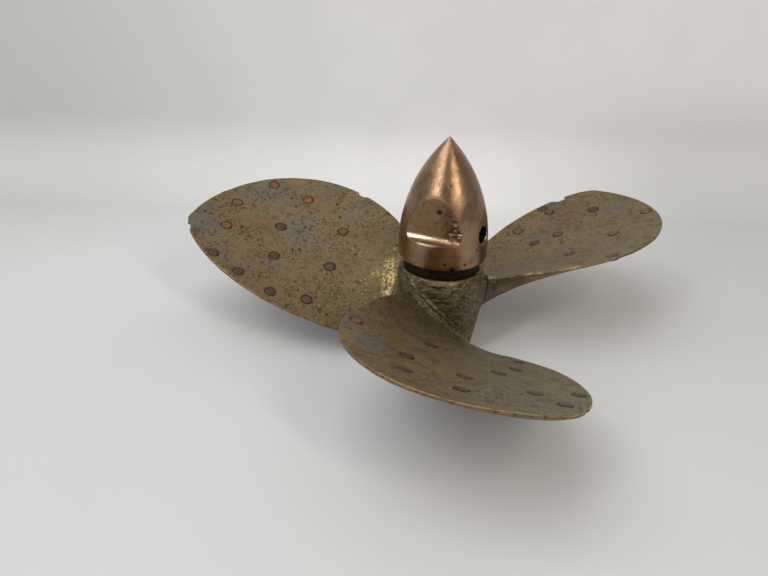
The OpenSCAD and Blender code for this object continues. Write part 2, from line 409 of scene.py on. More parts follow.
def root_offset(height, n, v):
    """How far the root stands off the blade at a height above the hub: a filed band on the after face."""
    left = np.clip(1 - height / BAND_RISE, 0, 1)
    band = AFTER_BAND * (0.45 + 0.55 * smoothstep(0.02, 0.3, v)) * left ** 1.25
    up = np.clip(height, 0, FORWARD_FILLET)
    fillet = FORWARD_FILLET - np.sqrt(np.maximum(0, FORWARD_FILLET ** 2 - (FORWARD_FILLET - up) ** 2))
    on_after = smoothstep(-EDGE_THICKNESS, 0, n)
    return band * on_after + fillet * (1 - on_after)


def blade_object(blade):
    r, s, n = blade_sections(blade)
    z = blade_point(r + 0 * s, s, n)[..., 2]
    low, high = after_edge(r), forward_edge(r)
    out = root_offset(r - hub_radius(z), n, (s - low) / (high - low))
    os, on = outward(s, n)
    rings = blade_point(r + 0 * s, s + os * out, n + on * out)
    turn = math.radians(BLADE_ANGLES[blade])
    spin = np.array([[math.cos(turn), math.sin(turn), 0], [-math.sin(turn), math.cos(turn), 0], [0, 0, 1]])
    return tube(f"blade_{blade}", (rings @ spin)[:, ::-1])


# ---- casting ------------------------------------------------------------------------------------


def hub_object():
    """The hub as a full solid. Its bore is cut after the blades are joined to it."""
    z = HUB_CHAMFER + (HUB_LENGTH - HUB_CHAMFER) * np.sin(np.linspace(0, math.pi / 2, 90))
    profile = [(0.5, 0), (HUB_FORWARD_R - HUB_CHAMFER, 0)] + [(float(hub_radius(h)), h) for h in z]
    profile += [(0.5, HUB_LENGTH)]
    return lathe("hub", resample(profile, 0.6), 260)


def part_labels(points, edges):
    """A number for each vertex, the same for all vertices of one loose part."""
    weld = {}
    for i, p in enumerate(np.round(points, 3)):
        weld.setdefault(tuple(p), i)
    same = np.array([weld[tuple(p)] for p in np.round(points, 3)])
    label = same.copy()
    while True:
        low = np.minimum(label[edges[:, 0]], label[edges[:, 1]])
        new = label.copy()
        np.minimum.at(new, edges[:, 0], low)
        np.minimum.at(new, edges[:, 1], low)
        new = np.minimum(new, new[same])
        np.minimum.at(new, same, new)
        new = new[same]
        if (new == label).all():
            return label
        label = new


def plug_axis(points):
    """Centre, axis and half length of one plug."""
    centre = points.mean(axis=0)
    off = points - centre
    # the two ends are rings of equal radius, so the axis is the direction that splits them
    _, vectors = np.linalg.eigh(off.T @ off)
    tight = [np.std(np.abs(off @ vectors[:, k])) for k in range(3)]
    axis = vectors[:, int(np.argmin(tight))]
    axis = axis * np.sign(axis[2])
    return centre, axis, float(np.ptp(off @ axis)) / 2


def plug_axes():
    """Every plug's axis, by CAD node. Each node's plugs run from the after edge forwards."""
    found = {}
    for name in sorted(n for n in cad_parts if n.startswith("plugs_")):
        points, _ = vertices_mm(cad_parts[name])
        edges = np.array([e.vertices[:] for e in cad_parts[name].data.edges])
        label = part_labels(points, edges)
        plugs = [plug_axis(np.unique(np.round(points[label == group], 4), axis=0))
                 for group in np.unique(label)]
        root = math.radians(BLADE_ANGLES[int(name[len("plugs_blade_")]) - 1])
        found[name] = sorted(plugs, key=lambda plug: math.remainder(
            math.atan2(plug[0][1], plug[0][0]) - root, 2 * math.pi))
    return found


PLUGS = plug_axes()


def turned_to(obj, centre_mm, axis):
    """Moves a lathed solid so that its own axis runs along the given one."""
    turn = Vector((0, 0, 1)).rotation_difference(Vector(axis)).to_matrix().to_4x4()
    obj.data.transform(Matrix.Translation(Vector(centre_mm) * MM) @ turn)
    return obj


def joined(name, parts):
    """One object from several solids that don't touch."""
    points, faces, start = [], [], 0
    for part in parts:
        own, _ = vertices_mm(part)
        faces += [[start + v for v in f.vertices] for f in part.data.polygons]
        start += len(own)
        points.append(own)
        bpy.data.objects.remove(part)
    return make_object(name, make_mesh(name, np.vstack(points), faces))


FIT_GAP = 0.02


def finished(obj, node, body, sharp_above=40):
    """Shades a finished piece, hides its CAD node and hangs it under its body's empty."""
    shade(obj, sharp_above)
    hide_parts(node)
    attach(obj, body)
    return obj


def wave(points):
    """Slow unevenness of the cast and filed surface."""
    return layered_noise(points, 26, SEED) * 0.2


def blade_pits(points, near_root):
    """Corrosion pits: scattered on the blades and crowded near the roots."""
    scattered = pits(points, 4.6, 0.28, SEED + 20)
    crowded = pits(points, 2.6, 0.75, SEED + 21) * near_root
    return np.maximum(scattered, crowded)


STROKE_LEANS = (38, -24)
STROKE_STRETCH = 9


def file_strokes(points):
    """Two crossing sets of file strokes, each long one way and narrow the other."""
    marks = np.zeros(len(points))
    for k, lean in enumerate(STROKE_LEANS):
        a = math.radians(lean)
        turn = np.arctan2(points[:, 1], points[:, 0]) * HUB_WIDEST_R
        along = turn * math.cos(a) + points[:, 2] * math.sin(a)
        over = points[:, 2] * math.cos(a) - turn * math.sin(a)
        stroke = np.stack([along / STROKE_STRETCH, over, 0 * over], axis=1)
        marks = np.maximum(marks, noise(stroke, 1.25, SEED + 12 + k))
    return marks


def root_creases(points):
    """Dark laps along both sides of each root's filed band: 1 in the crease, 0 away from it."""
    height = np.hypot(points[:, 0], points[:, 1]) - hub_radius(points[:, 2])
    wander = noise(points, 7, SEED + 15) * 0.9 + noise(points, 2.5, SEED + 16) * 0.35
    inner = smoothstep(0.8, 0.1, np.abs(height - 2.1 + 0.7 * wander))
    inner *= smoothstep(-0.6, 0.2, noise(points, 11, SEED + 17))
    outer = smoothstep(0.6, 0.1, np.abs(height - BAND_RISE + 1.5 * wander))
    outer *= smoothstep(-0.2, 0.4, noise(points, 6, SEED + 18))
    front = math.radians(BLADE_ANGLES[0])
    to_front = points[:, 0] * math.cos(front) + points[:, 1] * math.sin(front)
    ahead = smoothstep(0.3, 0.6, to_front / (height + HUB_WIDEST_R))
    lap = smoothstep(0.7, 0.15, np.abs(height - 2.0 + 0.5 * wander)) * ahead
    return np.maximum(np.maximum(inner, lap), outer * ahead * 0.5)


# Blue-grey stains on the blades: blade, radius, share of width, size and strength
STAINS = [
    (2, 143, 0.80, 18, 0.75), (2, 148, 0.55, 9, 0.5), (2, 133, 0.22, 22, 0.65), (2, 95, 0.44, 20, 0.65),
    (2, 96, 0.72, 8, 0.4), (2, 112, 0.06, 12, 0.4), (2, 84, 0.10, 16, 0.35),
    (0, 101, 0.15, 13, 0.9), (0, 92, 0.02, 11, 0.6), (0, 84, 0.36, 7, 0.55), (0, 132, 0.70, 34, 0.4),
    (1, 138, 0.45, 18, 0.35), (1, 95, 0.75, 12, 0.45), (1, 104, 0.70, 10, 0.4), (1, 128, 0.9, 12, 0.3),
]
# Bright, rough bronze by the roots: blade, radius, share of width, size and strength
BRIGHT_SPOTS = [
    (2, 34, 0.40, 7, 0.95), (2, 39, 0.28, 5, 0.7), (2, 31, 0.52, 5, 0.8), (2, 42, 0.42, 6, 0.45),
    (1, 36, 0.18, 8, 0.7), (1, 52, 0.05, 8, 0.6), (1, 68, 0.02, 9, 0.5),
    (0, 24, 0.85, 9, 0.9), (0, 27, 0.99, 8, 0.7),
]


def spread(points, spots, seed):
    """Ragged patches around places on the blades, from 0 to each patch's strength."""
    total = np.zeros(len(points))
    ragged_edge = layered_noise(points, 9, seed)
    for blade, r, v, size, strength in spots:
        s = after_edge(r) * (1 - v) + forward_edge(r) * v
        turn = math.radians(BLADE_ANGLES[blade])
        x, y, z = blade_point(r, s, 0.0)
        centre = np.array([x * math.cos(turn) - y * math.sin(turn),
                           x * math.sin(turn) + y * math.cos(turn), z])
        away = np.linalg.norm(points - centre, axis=1) / size
        total = np.maximum(total, strength * smoothstep(1.1, 0.25, away + 0.3 * ragged_edge))
    return total


def near_root(from_axis):
    """1 at a blade's root, falling to 0 where the open blade starts."""
    return smoothstep(58, 24, from_axis)


def roughen_casting(body):
    """Gives the casting its unevenness, file strokes, pits and laps. The bore's inside isn't touched."""
    points, normal = vertices_mm(body)
    from_axis = np.hypot(points[:, 0], points[:, 1])
    outside = smoothstep(15.2, 16, from_axis)
    root = near_root(from_axis)
    uneven = layered_noise(points, 4.5, SEED + 10) * (0.05 + 0.13 * root)
    pit = blade_pits(points, root) * (0.14 + 0.18 * root)
    height = from_axis - hub_radius(points[:, 2])
    filed = file_strokes(points) * 0.16 * smoothstep(9, 6, height) * (points[:, 2] < HUB_LENGTH - 0.5)
    crease = root_creases(points) * 0.4 * (points[:, 2] < HUB_LENGTH - 1.5)
    moved = points + normal * ((wave(points) + uneven + filed - pit - crease) * outside)[:, None]
    moved[:, 2] = np.where(points[:, 2] < 0.05, points[:, 2], moved[:, 2])
    set_vertices(body, moved)


def casting_cuts():
    """What is cut from the casting: its bore, its plug holes, and all beyond its two end faces."""
    bore_r, bore_top = SEAT_R + FIT_GAP, HUB_LENGTH + 2
    socket = lathe("socket", [(SOCKET_R, -20), (SOCKET_R, SOCKET_DEPTH), (bore_r, SOCKET_DEPTH),
                              (bore_r, bore_top)], 128)
    hole_r = PLUG_R + FIT_GAP
    holes = [turned_to(lathe(name, [(hole_r, -half - 3), (hole_r, half + 3)], 40), centre, axis)
             for name, plugs in PLUGS.items() for centre, axis, half in plugs]
    foot = brick("below_foot", np.array([-60, -60, -30]), np.array([60, 60, 0]))
    rim_r = HUB_WIDEST_R + 0.5
    seat = lathe("above_seat", [(0.5, HUB_LENGTH), (rim_r, HUB_LENGTH), (rim_r, NUT_Z), (0.5, NUT_Z)], 64)
    return [foot, seat, socket, joined("plug_holes", holes)]


def casting():
    body = hub_object()
    combine(body, [blade_object(b) for b in range(3)], "UNION")
    roughen_casting(body)
    combine(body, casting_cuts(), "DIFFERENCE")
    mark_casting(body)
    body.name = "hub_and_blades"
    return finished(body, "propeller_casting", "propeller", 35)


def mark_casting(body):
    """Stores what the casting's material needs to know about each point."""
    points, _ = vertices_mm(body)
    from_axis = np.hypot(points[:, 0], points[:, 1])
    ring = np.full(len(points), FAR)
    for plugs in PLUGS.values():
        for centre, axis, _ in plugs:
            off = points - centre
            along = off @ axis
            away = np.sqrt(np.maximum(0, (off ** 2).sum(axis=1) - along ** 2))
            ring = np.minimum(ring, np.where(np.abs(along) < 12, away, FAR))
    set_attribute(body, "plug_distance", ring)
    set_attribute(body, "shaft_distance", from_axis)
    set_attribute(body, "above_hub", from_axis - hub_radius(points[:, 2]))
    set_attribute(body, "pitting", blade_pits(points, near_root(from_axis)))
    set_attribute(body, "crease", root_creases(points))
    set_attribute(body, "stain", spread(points, STAINS, SEED + 60))
    set_attribute(body, "bright", spread(points, BRIGHT_SPOTS, SEED + 62))
    set_attribute(body, "strokes", file_strokes(points))


# ---- nut ----------------------------------------------------------------------------------------


def ogive(z):
    """Radius of the nut's bullet shape at a height above its foot."""
    rise = NUT_HEIGHT - NUT_BAND
    arc = (NUT_R ** 2 + rise ** 2) / (2 * NUT_R)
    up = np.maximum(0, z - NUT_BAND)
    return np.sqrt(np.maximum(0, arc ** 2 - up ** 2)) + NUT_R - arc


def nut_rows():
    """Heights of the nut's rings, close together at the ledge, the fillet and the point."""
    ledge = [NUT_LEDGE - 0.3, NUT_LEDGE - 0.12, NUT_LEDGE - 0.02, NUT_LEDGE + 0.02]
    fillet = NUT_LEDGE + LEDGE_FILLET * np.linspace(0.02, 1, 16) ** 2
    low = np.concatenate([[0, 0.15, 0.5, 0.9, 1.2, 1.6], np.linspace(2, NUT_LEDGE - 0.6, 30)])
    high = np.linspace(NUT_LEDGE + LEDGE_FILLET + 0.3, NUT_HEIGHT - 3, 140)
    point = NUT_HEIGHT - 3 * np.linspace(1, 0, 16)[1:] ** 1.5 * 0.99
    return np.unique(np.concatenate([low, ledge, fillet, high, point]))


def flat_distance(z):
    """Distance of the milled flat from the axis at each height: far outside below the ledge."""
    up = np.clip(z - NUT_LEDGE, 0, LEDGE_FILLET)
    curve = LEDGE_FILLET - np.sqrt(np.maximum(0, LEDGE_FILLET ** 2 - (LEDGE_FILLET - up) ** 2))
    return np.where(z < NUT_LEDGE, FAR, NUT_FLATS / 2 + curve)


def thread_object(name, gap, low, high):
    """A cylinder with a helical V thread cut in it, between two heights."""
    columns = 64
    z = np.arange(low, high, THREAD_LEAD / 12)
    turn = np.linspace(0, 2 * math.pi, columns, endpoint=False)
    phase = (z[:, None] / THREAD_LEAD - turn[None, :] / (2 * math.pi)) % 1
    depth = 1.1 * np.clip(np.abs(phase - 0.5) * 2.3 - 0.12, 0, 1)
    radius = THREAD_R + gap - depth
    rings = np.stack([radius * np.cos(turn), radius * np.sin(turn), z[:, None] + 0 * turn], axis=-1)
    return tube(name, rings)


def ragged(over, z):
    """Uneven depth of a flat: torn at its right side, with chatter low down on that side."""
    size = np.broadcast_shapes(over.shape, (len(z), 1))
    over = np.broadcast_to(over, size)
    height = np.broadcast_to(z[:, None], size)
    points = np.stack([over, height, 0 * height], axis=-1).reshape(-1, 3)
    torn = (noise(points, 2.6, SEED + 35) + 0.6 * noise(points, 1.2, SEED + 36)).reshape(size)
    right = smoothstep(4, 11, over)
    chatter = np.sin(height * 2 * math.pi / 1.9) * smoothstep(NUT_LEDGE + 14, NUT_LEDGE + 4, height)
    edge = smoothstep(9, 12, over)
    return torn * (0.05 + 0.2 * right + 0.7 * edge) + chatter * 0.08 * right


def nut_blank():
    """The bullet-shaped body with its two flats, before its bore and holes are cut."""
    z = nut_rows()
    turn = np.linspace(-math.pi, math.pi, NUT_COLUMNS, endpoint=False)[None, :]
    foot = np.interp(z, [0, 0.15, 0.8, 3], [1.1, 0.9, 0.3, 0])
    radius = (ogive(z) - foot)[:, None] + 0 * turn
    for side in (0, math.pi):
        away = turn - math.radians(FLATS_AT) + side
        facing = np.cos(away)
        rough = ragged(np.sin(away) * NUT_R, z)
        flat = (flat_distance(z)[:, None] + rough) / np.maximum(facing, 0.05)
        radius = np.minimum(radius, np.where(facing > 0.05, flat, FAR))
    rings = np.stack([radius * np.cos(turn), radius * np.sin(turn), NUT_Z + z[:, None] + 0 * turn], axis=-1)
    return tube("bullet_nut", rings)


def nut_pits(points):
    return pits(points, 5.5, 0.16, SEED + 33)


def roughen_nut(body):
    """Gives the nut its wear, its pits and the one nick in its lower edge."""
    points, normal = vertices_mm(body)
    small = layered_noise(points, 9, SEED + 30) * 0.05 + noise(points, 2.0, SEED + 31) * 0.012
    nick_turn = math.radians(NICK_AT)
    nick_at = np.array([NUT_R * math.cos(nick_turn), NUT_R * math.sin(nick_turn), NUT_Z])
    nick = smoothstep(2.4, 0.8, np.linalg.norm(points - nick_at, axis=1)) * 1.3
    set_vertices(body, points + normal * (small - nut_pits(points) * 0.22 - nick)[:, None])


def nut_cuts():
    """The threaded bore and the two tommy-bar holes, as one cutter."""
    cutters = [thread_object("thread_cut", 0.05, NUT_Z - 1, NUT_Z + NUT_BORE_DEPTH)]
    floor = NUT_R - BAR_HOLE_DEPTH
    hole = [(0.5, floor - 1.8), (BAR_HOLE_R, floor), (BAR_HOLE_R, NUT_R - 1.3),
            (BAR_HOLE_R + 2.2, NUT_R + 1.4)]
    for side in (0, 180):
        at = math.radians(BAR_HOLE_AT + side)
        cutters.append(turned_to(lathe("bar_cut", hole, 64), (0, 0, NUT_Z + BAR_HOLE_Z),
                                 (math.cos(at), math.sin(at), 0)))
    return joined("nut_cuts", cutters)


def mark_nut(body):
    """Stores what the nut's material needs to know about each point."""
    points, _ = vertices_mm(body)
    x, y, z = points.T
    from_axis = np.hypot(x, y)
    flats = math.radians(FLATS_AT)
    across = x * math.cos(flats) + y * math.sin(flats)
    to_right = (y * math.cos(flats) - x * math.sin(flats)) * np.sign(across)
    on_flat = smoothstep(0.75, 0.45, np.abs(np.abs(across) - NUT_FLATS / 2))
    up_fillet = (z - NUT_Z - NUT_LEDGE) / LEDGE_FILLET
    in_cut = (up_fillet > -0.05) & (up_fillet < 1.02) & (from_axis < ogive(z - NUT_Z) - 0.25)
    line_low = 0.42 + 0.2 * smoothstep(-10, 4, to_right)
    in_line = smoothstep(line_low - 0.12, line_low, up_fillet) * smoothstep(0.95, 0.75, up_fillet)
    by_ledge = smoothstep(-0.26, -0.1, up_fillet) * (up_fillet < 0.01)
    rim_worn = by_ledge * ~in_cut * (np.abs(across) > NUT_FLATS / 2 + 3)
    worn_part = smoothstep(8, 4, np.abs(to_right + 1.5 + 2 * noise(points, 3, SEED + 37)))
    hole = math.radians(BAR_HOLE_AT)
    from_hole = np.hypot(z - NUT_Z - BAR_HOLE_Z, y * math.cos(hole) - x * math.sin(hole))
    set_attribute(body, "pitting", nut_pits(points))
    set_attribute(body, "flat", on_flat * smoothstep(0.7, 0.95, up_fillet))
    set_attribute(body, "right_side", smoothstep(2, 9, to_right))
    set_attribute(body, "ledge", in_cut * smoothstep(0.42, 0.22, up_fillet))
    # a painted highlight along the ledge fillet, strongest at its left end
    set_attribute(body, "fillet", in_cut * in_line * (0.25 + 0.75 * smoothstep(2, -10, to_right)))
    set_attribute(body, "ledge_rim", rim_worn * worn_part)
    set_attribute(body, "bar_hole", (from_hole < BAR_HOLE_R + 0.1) & (from_axis > THREAD_R + 2))


def nut():
    body = nut_blank()
    roughen_nut(body)
    combine(body, [nut_cuts()], "DIFFERENCE")
    mark_nut(body)
    return finished(body, "fairwater_nut", "nut", 32)


# ---- washer, shaft tail and key -----------------------------------------------------------------


def washer():
    r = WASHER_HIGH[0]
    low, high = WASHER_LOW[2], WASHER_HIGH[2]
    profile = [(0.5, low), (r - 0.5, low), (r, low + 0.5), (r, high - 0.5), (r - 0.5, high), (0.5, high)]
    body = lathe("washer_ring", resample(profile, 0.6), 200)
    points, normal = vertices_mm(body)
    from_axis = np.hypot(points[:, 0], points[:, 1])
    worn = layered_noise(points, 5, SEED + 40) * 0.06 - pits(points, 3, 0.3, SEED + 41) * 0.15
    worn = np.minimum(worn, 0) * smoothstep(r - 1.2, r - 0.4, from_axis)
    set_vertices(body, points + normal * worn[:, None])
    bore_r = THREAD_R + 0.05
    combine(body, [lathe("washer_bore", [(bore_r, low - 1), (bore_r, high + 1)], 96)], "DIFFERENCE")
    return finished(body, "thrust_washer", "washer")


def shaft_tail():
    low = SOCKET_DEPTH
    top = HUB_LENGTH - 1
    profile = [(0.4, low + 2.2), (2.4, low), (SEAT_R - 0.4, low), (SEAT_R, low + 0.4), (SEAT_R, top - 1.5),
               (SEAT_R - 1.5, top), (THREAD_R - 0.9, top + 0.2), (THREAD_R - 0.9, top + 2), (0.4, top + 2)]
    body = lathe("threaded_shaft_end", resample(profile, 1.5), 96)
    screw = thread_object("screw", 0, top + 1, THREAD_TOP)
    combine(body, [screw], "UNION")
    slot_low = np.array([KEY_LOW[0] - 0.03, KEY_LOW[1] - 0.03, KEY_LOW[2] - 0.5])
    slot_high = np.array([SEAT_R + 2, KEY_HIGH[1] + 0.03, KEY_HIGH[2] + 0.5])
    combine(body, [brick("key_slot", slot_low, slot_high)], "DIFFERENCE")
    return finished(body, "shaft_tail", "propeller", 30)


def brick(name, low, high):
    corners = np.array([[(low, high)[k][a] for a, k in enumerate(pick)]
                        for pick in itertools.product((0, 1), repeat=3)])
    faces = [(0, 1, 3, 2), (4, 6, 7, 5), (0, 4, 5, 1), (2, 3, 7, 6), (0, 2, 6, 4), (1, 5, 7, 3)]
    return make_object(name, make_mesh(name, corners, faces))


def key():
    body = brick("square_key", KEY_LOW, KEY_HIGH)
    bevel = body.modifiers.new("bevel", "BEVEL")
    bevel.width = 0.3 * MM
    bevel.segments = 3
    return finished(body, "drive_key", "propeller")


# ---- copper plugs -------------------------------------------------------------------------------


def plug_rings(centre, axis, half, rng):
    """Rings of one hammered plug, from its forward end to its after end."""
    side = np.cross(axis, [0.0, 0.0, 1.0])
    side /= np.linalg.norm(side)
    other = np.cross(axis, side)
    turn = np.linspace(0, 2 * math.pi, 40, endpoint=False)
    outline = PLUG_R - 0.02 - 0.06 * (1 + np.sin(turn * 3 + rng.uniform(0, 6)))
    profile = [(0.06, 0.05), (0.3, 0.05), (0.5, 0.02), (0.66, 0.0), (0.8, -0.03), (0.93, -0.1), (1.0, -0.28)]
    ends = [(q, -half - z) for q, z in profile] + [(q, half + z) for q, z in profile[::-1]]
    rings = []
    for q, z in ends:
        ring = np.outer(np.cos(turn) * outline * q, side) + np.outer(np.sin(turn) * outline * q, other)
        rings.append(centre + ring + axis * z)
    return np.array(rings)


# How red each plug is, from 0 for dark brown to 1. Each group runs from the after edge forwards.
REDNESS = {
    "plugs_blade_1_inner": (0.1, 0.2, 0.1), "plugs_blade_1_middle": (0.9, 0.15, 0.1),
    "plugs_blade_1_outer": (0.1, 0.3, 0.3), "plugs_blade_1_tip": (0.2, 0.3, 0.1),
    "plugs_blade_2_inner": (0.25, 0.1), "plugs_blade_2_middle": (0.45, 0.55, 0.8),
    "plugs_blade_2_outer": (0.85,), "plugs_blade_2_tip": (1.0, 0.2, 0.5, 0.2),
    "plugs_blade_3_inner": (0.5, 0.15, 0.35), "plugs_blade_3_middle": (0.15, 0.1),
    "plugs_blade_3_outer": (0.95, 0.15, 0.05), "plugs_blade_3_tip": (0.8, 0.75, 0.85, 0.05),
}


def plug_group(node, plugs):
    rng = np.random.default_rng(SEED + sum(map(ord, node)))
    points, faces, redness, from_middle = [], [], [], []
    for plug, red in zip(plugs, REDNESS[node]):
        rings = plug_rings(*plug, rng)
        rows, columns = rings.shape[:2]
        start = len(redness)
        faces += (grid_faces(rows, columns, True) + start).tolist()
        faces.append([start + j for j in range(columns)][::-1])
        faces.append([start + (rows - 1) * columns + j for j in range(columns)])
        points.append(rings.reshape(-1, 3))
        redness += [red] * (rows * columns)
        middle = rings.mean(axis=1, keepdims=True)
        from_middle += (np.linalg.norm(rings - middle, axis=2) / PLUG_R).ravel().tolist()
    obj = make_object(node.replace("plugs_", "copper_plugs_"), make_mesh(node, np.vstack(points), faces))
    heads, normal = vertices_mm(obj)
    lift = wave(heads) + np.minimum(0, noise(heads, 1.3, SEED + 50) * 0.1)
    set_vertices(obj, heads + normal * lift[:, None])
    set_attribute(obj, "redness", redness)
    set_attribute(obj, "from_middle", from_middle)
    return finished(obj, node, "propeller", 50)


# ---- materials ----------------------------------------------------------------------------------


class Nodes:
    """A short way to wire one material's shader nodes."""

    def __init__(self, name):
        self.material = bpy.data.materials.new(name)
        self.material.use_nodes = True
        self.tree = self.material.node_tree
        self.shader = self.tree.nodes["Principled BSDF"]
        self.place = self.add("ShaderNodeTexCoord").outputs["Object"]

    def add(self, kind, **settings):
        node = self.tree.nodes.new(kind)
        for key_name, value in settings.items():
            setattr(node, key_name, value)
        return node

    def put(self, socket, value):
        if isinstance(value, bpy.types.NodeSocket):
            self.tree.links.new(value, socket)
        elif socket.type == "RGBA" and len(value) == 3:
            socket.default_value = (*value, 1)
        else:
            socket.default_value = value

    def noise(self, size_mm, detail=4, rough=0.55, stretch=(1, 1, 1), seed=0.0, turned=(0, 0, 0)):
        mapping = self.add("ShaderNodeMapping")
        self.put(mapping.inputs["Vector"], self.place)
        self.put(mapping.inputs["Rotation"], [math.radians(a) for a in turned])
        self.put(mapping.inputs["Scale"], stretch)
        self.put(mapping.inputs["Location"], (seed, seed * 0.7, seed * 1.3))
        node = self.add("ShaderNodeTexNoise")
        self.put(node.inputs["Vector"], mapping.outputs[0])
        self.put(node.inputs["Scale"], 1 / (size_mm * MM))
        self.put(node.inputs["Detail"], detail)
        self.put(node.inputs["Roughness"], rough)
        return node.outputs["Fac"]

    def cells(self, size_mm, kind="F1", randomness=1.0):
        node = self.add("ShaderNodeTexVoronoi", feature=kind)
        self.put(node.inputs["Vector"], self.place)
        self.put(node.inputs["Scale"], 1 / (size_mm * MM))
        self.put(node.inputs["Randomness"], randomness)
        return node.outputs["Distance"]

    def attribute(self, name):
        return self.add("ShaderNodeAttribute", attribute_name=name).outputs["Fac"]

    def range(self, value, low, high, to_low=0.0, to_high=1.0):
        node = self.add("ShaderNodeMapRange", interpolation_type="SMOOTHSTEP")
        self.put(node.inputs["Value"], value)
        for name, number in (("From Min", low), ("From Max", high), ("To Min", to_low), ("To Max", to_high)):
            self.put(node.inputs[name], number)
        return node.outputs["Result"]

    def math(self, operation, a, b=0.0):
        node = self.add("ShaderNodeMath", operation=operation)
        self.put(node.inputs[0], a)
        self.put(node.inputs[1], b)
        return node.outputs[0]

    def mix(self, factor, a, b, blend="MIX"):
        node = self.add("ShaderNodeMix", data_type="RGBA", blend_type=blend)
        self.put(node.inputs["Factor"], factor)
        self.put(node.inputs["A"], a)
        self.put(node.inputs["B"], b)
        return node.outputs["Result"]

    def bump(self, height, strength, distance_mm, before=None):
        node = self.add("ShaderNodeBump")
        self.put(node.inputs["Height"], height)
        self.put(node.inputs["Strength"], strength)
        self.put(node.inputs["Distance"], distance_mm * MM)
        if before is not None:
            self.put(node.inputs["Normal"], before)
        return node.outputs["Normal"]

    def crease_dirt_and_shade(self, reach_mm):
        """1 deep in a crease, 0 in the open: an occlusion mask for painted shade mixed with dirt."""
        node = self.add("ShaderNodeAmbientOcclusion", samples=6)
        self.put(node.inputs["Distance"], reach_mm * MM)
        return self.math("SUBTRACT", 1.0, node.outputs["AO"])

    def edges(self, radius_mm):
        """1 on worn outer edges, 0 on faces: how far the bevelled normal turns from the true one."""
        bevel = self.add("ShaderNodeBevel", samples=4)
        self.put(bevel.inputs["Radius"], radius_mm * MM)
        plain = self.add("ShaderNodeNewGeometry")
        dot = self.add("ShaderNodeVectorMath", operation="DOT_PRODUCT")
        self.put(dot.inputs[0], bevel.outputs[0])
        self.put(dot.inputs[1], plain.outputs["Normal"])
        return self.range(dot.outputs["Value"], 0.97, 0.75)

    def finish(self, colour, metallic, roughness, normal=None):
        self.put(self.shader.inputs["Base Color"], colour)
        self.put(self.shader.inputs["Metallic"], metallic)
        self.put(self.shader.inputs["Roughness"], roughness)
        if normal is not None:
            self.put(self.shader.inputs["Normal"], normal)
        return self.material


SOOT = (0.016, 0.013, 0.009)
# dark green for dirt in the root laps and for painted shade in creases
GREEN_DIRT_AND_SHADE = (0.014, 0.020, 0.012)


def casting_patina(m, mottle):
    """Olive and brown bronze, with slate stains and sooty blotches."""
    olive = (0.218, 0.160, 0.072)
    brown = (0.192, 0.128, 0.063)
    slate = (0.145, 0.138, 0.124)
    colour = m.mix(m.range(m.noise(40, 5, 0.6), 0.35, 0.65), olive, brown)
    clouds = m.range(m.noise(24, 5, 0.62, seed=11.0), 0.54, 0.66, 0, 0.5)
    slaty = m.math("MULTIPLY", clouds, m.range(mottle, 0.3, 0.55))
    stained = m.math("MULTIPLY", m.attribute("stain"), m.range(mottle, 0.3, 0.5, 0.55, 1))
    colour = m.mix(m.math("MAXIMUM", slaty, stained), colour, slate)
    return m.mix(m.range(m.noise(4.5, 5, 0.7, seed=21.0), 0.50, 0.66, 0, 0.45), colour, SOOT)


def specks_and_grain(m, colour):
    """Dark specks, the darker middle of the wheel, and grains of bare bronze near it."""
    gold = (0.50, 0.35, 0.14)
    in_shade = (0.060, 0.047, 0.024)
    crowd = m.range(m.noise(16, 4, 0.6, seed=17.0), 0.38, 0.58, 0.35, 1)
    speck = m.range(m.noise(1.5, 3, 0.7, seed=5.0), 0.555, 0.60)
    colour = m.mix(m.math("MULTIPLY", speck, m.math("MULTIPLY", crowd, 0.9)), colour, SOOT)
    colour = m.mix(m.range(m.attribute("shaft_distance"), 100, 30, 0, 0.52), colour, in_shade)
    near_hub = m.range(m.attribute("shaft_distance"), 95, 27, 0.25, 1)
    grain = m.range(m.noise(1.3, 3, 0.7, seed=8.0), 0.60, 0.68)
    bright = m.math("MULTIPLY", m.math("MULTIPLY", grain, crowd), near_hub)
    return m.mix(bright, colour, gold), speck, grain


def bright_patches(m, colour):
    """Rough bare bronze by the roots, grainy with soot between the grains."""
    bare = (0.66, 0.47, 0.20)
    patch = m.attribute("bright")
    grains = m.noise(1.8, 5, 0.75, seed=9.0)
    on_grain = m.math("MULTIPLY", m.range(grains, 0.46, 0.56), 0.9)
    colour = m.mix(m.math("MULTIPLY", patch, on_grain), colour, bare)
    return m.mix(m.math("MULTIPLY", patch, m.range(grains, 0.44, 0.36)), colour, SOOT)


def filed_hub(m, colour, hub_only):
    """File strokes on the hub and the roots. Also returns their height for the bump."""
    filed_tone = (0.22, 0.18, 0.115)
    scratch_tone = (0.27, 0.235, 0.165)
    filed = m.math("MULTIPLY", hub_only, m.range(m.attribute("strokes"), 0.25, 0.6, 0, 0.45))
    colour = m.mix(filed, colour, filed_tone)
    strokes = m.noise(1.3, 2, 0.5, stretch=(0.10, 1, 1), turned=(0, 42, 0))
    cross = m.noise(1.1, 2, 0.5, stretch=(0.12, 1, 1), turned=(0, -20, 0), seed=4.0)
    scratched = m.math("MULTIPLY", m.math("MAXIMUM", strokes, cross), hub_only)
    colour = m.mix(m.range(scratched, 0.60, 0.68, 0, 0.6), colour, scratch_tone)
    scored = m.math("MULTIPLY", m.range(m.math("MINIMUM", strokes, cross), 0.42, 0.36, 0, 0.7), hub_only)
    return m.mix(scored, colour, SOOT), scratched


